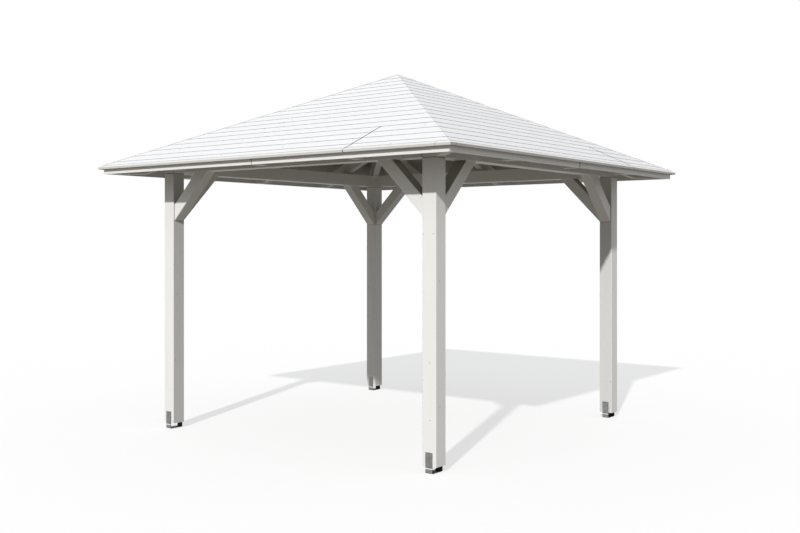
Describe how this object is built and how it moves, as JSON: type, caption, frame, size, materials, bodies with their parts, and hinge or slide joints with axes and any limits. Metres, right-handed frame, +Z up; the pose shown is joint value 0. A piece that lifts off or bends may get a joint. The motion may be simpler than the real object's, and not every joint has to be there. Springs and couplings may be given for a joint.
{
  "type": "garden gazebo",
  "caption": "Square open timber gazebo: posts in steel anchors carry a ring of braced beams and a boarded pyramid roof, all painted white.",
  "frame": {"origin": "middle of the square plan, at ground level", "axes": "+Z up, -Y towards the front beam, which fits between the two side beams, +X to the right as seen from the front"},
  "size_m": [3.578, 3.578, 3.0141],
  "materials": {
    "post_timber": "planed softwood post under satin white paint",
    "beam_timber": "planed softwood beam under satin white paint",
    "brace_timber": "planed softwood brace under satin white paint",
    "rafter_timber": "planed softwood rafter under satin white paint",
    "roof_boards": "lapped softwood boarding under satin white paint",
    "fascia_timber": "planed softwood board under satin white paint",
    "galvanised_anchor": "hot-dip galvanised, dull grey"
  },
  "bodies": {
    "root": {"anchor_back_left": "galvanised_anchor", "anchor_back_right": "galvanised_anchor", "anchor_front_left": "galvanised_anchor", "anchor_front_right": "galvanised_anchor", "beam_back": "beam_timber", "beam_front": "beam_timber", "beam_left": "beam_timber", "beam_right": "beam_timber", "brace_back_left_x": "brace_timber", "brace_back_left_y": "brace_timber", "brace_back_right_x": "brace_timber", "brace_back_right_y": "brace_timber", "brace_front_left_x": "brace_timber", "brace_front_left_y": "brace_timber", "brace_front_right_x": "brace_timber", "brace_front_right_y": "brace_timber", "centre_rafter_back": "rafter_timber", "centre_rafter_front": "rafter_timber", "centre_rafter_left": "rafter_timber", "centre_rafter_right": "rafter_timber", "fascia_back_a": "fascia_timber", "fascia_back_b": "fascia_timber", "fascia_front_a": "fascia_timber", "fascia_front_b": "fascia_timber", "fascia_left_a": "fascia_timber", "fascia_left_b": "fascia_timber", "fascia_right_a": "fascia_timber", "fascia_right_b": "fascia_timber", "hip_rafter_back_left": "rafter_timber", "hip_rafter_back_right": "rafter_timber", "hip_rafter_front_left": "rafter_timber", "hip_rafter_front_right": "rafter_timber", "jack_rafter_back_a": "rafter_timber", "jack_rafter_back_b": "rafter_timber", "jack_rafter_front_a": "rafter_timber", "jack_rafter_front_b": "rafter_timber", "jack_rafter_left_a": "rafter_timber", "jack_rafter_left_b": "rafter_timber", "jack_rafter_right_a": "rafter_timber", "jack_rafter_right_b": "rafter_timber", "post_back_left": "post_timber", "post_back_right": "post_timber", "post_front_left": "post_timber", "post_front_right": "post_timber", "roof_slope_back": "roof_boards", "roof_slope_front": "roof_boards", "roof_slope_left": "roof_boards", "roof_slope_right": "roof_boards"}
  },
  "joints": []
}
